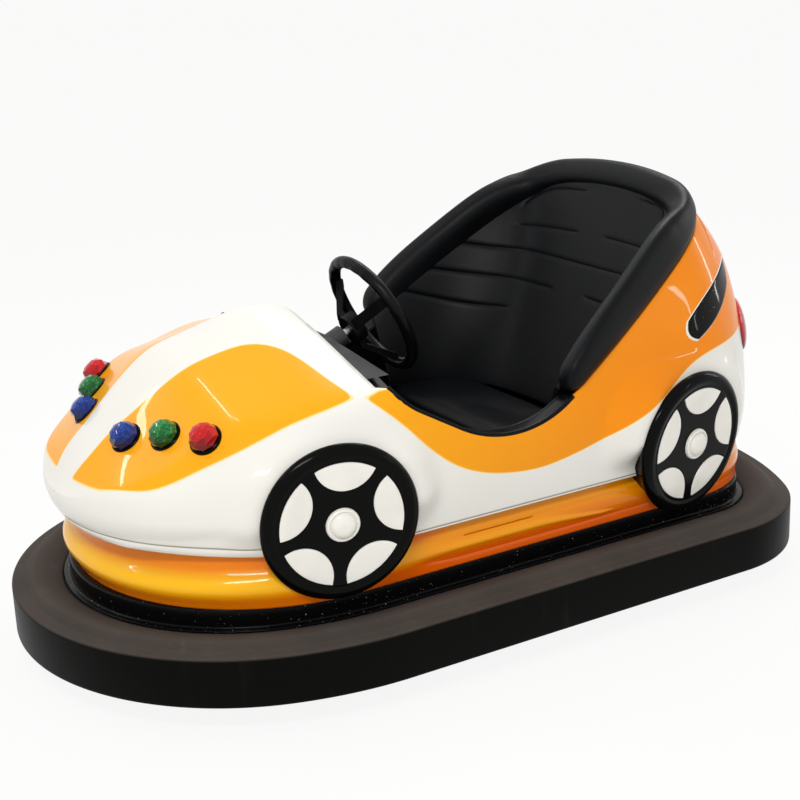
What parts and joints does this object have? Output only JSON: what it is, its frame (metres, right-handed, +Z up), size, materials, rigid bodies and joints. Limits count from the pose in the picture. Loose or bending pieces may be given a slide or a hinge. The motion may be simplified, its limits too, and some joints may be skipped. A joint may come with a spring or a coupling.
{
  "type": "fairground bumper car",
  "caption": "Bumper car for a fairground rink: rubber ring, moulded body with padded seat rim, steering wheel, steered drive wheel and free rear wheels.",
  "frame": {"origin": "on the floor, under the middle of the rubber ring", "axes": "front faces -Y, +X is the left side of the car, +Z up"},
  "size_m": [1.15, 1.95, 0.9613],
  "materials": {
    "rubber_black": "dusty satin rubber",
    "tyre_black": "moulded tyre rubber",
    "body_white": "gloss moulded shell, white with orange panels",
    "skirt_orange": "gloss orange moulding",
    "pan_black": "gloss black moulding",
    "disc_black": "gloss black moulding",
    "disc_white": "gloss white moulding",
    "pad_black": "satin black covered foam",
    "liner_black": "satin black moulding",
    "glass_black": "gloss black panel",
    "lamp_red": "faceted clear red",
    "lamp_blue": "faceted clear blue",
    "lamp_green": "faceted clear green",
    "frame_steel": "black painted steel",
    "bare_steel": "turned steel",
    "cast_grey": "grey casting",
    "wheel_grip": "satin black grip",
    "battery_grey": "plain battery case"
  },
  "bodies": {
    "chassis": {"rubber_bumper": "rubber_black", "chassis_rim": "frame_steel", "base_pan": "pan_black", "skirt": "skirt_orange", "body_front": "body_white", "body_side_left": "body_white", "body_side_right": "body_white", "body_tail": "body_white", "wheel_disc_front_left": "disc_black", "wheel_disc_front_right": "disc_black", "wheel_disc_rear_left": "disc_black", "wheel_disc_rear_right": "disc_black", "wheel_plates": "disc_white", "hub_caps": "disc_white", "chassis_frame": "frame_steel", "floor_plate": "frame_steel", "rear_axle": "bare_steel", "turntable_ring": "cast_grey", "seat_rim": "pad_black", "sill_trim": "liner_black", "cockpit_liner": "liner_black", "seat_base": "liner_black", "seat_back": "pad_black", "seat_cushion": "pad_black", "dash_panel": "liner_black", "footwell_bulkhead": "liner_black", "battery_block": "battery_grey", "accelerator_pedal": "bare_steel", "steering_column": "frame_steel", "nose_lamps_blue": "lamp_blue", "nose_lamps_green": "lamp_green", "nose_lamps_red": "lamp_red", "quarter_windows": "glass_black", "tail_lamps": "lamp_red"},
    "steering_wheel": {"steering_rim": "wheel_grip", "steering_spokes": "liner_black", "steering_shaft": "bare_steel"},
    "drive_fork": {"drive_turntable": "frame_steel", "drive_motor": "cast_grey"},
    "drive_wheel": {"drive_wheel_tyre": "tyre_black", "drive_wheel_hub": "cast_grey"},
    "rear_wheel_left": {"rear_wheel_left_tyre": "tyre_black", "rear_wheel_left_hub": "cast_grey"},
    "rear_wheel_right": {"rear_wheel_right_tyre": "tyre_black", "rear_wheel_right_hub": "cast_grey"}
  },
  "joints": [
    {"name": "steering_turn", "type": "hinge", "parent": "chassis", "child": "steering_wheel", "pos_m": [0, -0.0715, 0.695], "axis": [0, 0.9107, 0.4131], "continuous": true},
    {"name": "drive_turn", "type": "hinge", "parent": "chassis", "child": "drive_fork", "pos_m": [0, -0.52, 0.115], "axis": [0, 0, 1], "continuous": true},
    {"name": "drive_wheel_spin", "type": "hinge", "parent": "drive_fork", "child": "drive_wheel", "pos_m": [0, -0.52, 0.115], "axis": [1, 0, 0], "continuous": true},
    {"name": "rear_left_spin", "type": "hinge", "parent": "chassis", "child": "rear_wheel_left", "pos_m": [0.33, 0.48, 0.1], "axis": [1, 0, 0], "continuous": true},
    {"name": "rear_right_spin", "type": "hinge", "parent": "chassis", "child": "rear_wheel_right", "pos_m": [-0.33, 0.48, 0.1], "axis": [1, 0, 0], "continuous": true}
  ],
  "couplings": [
    {"joint": "drive_turn", "follows": "steering_turn", "ratio": 1}
  ]
}
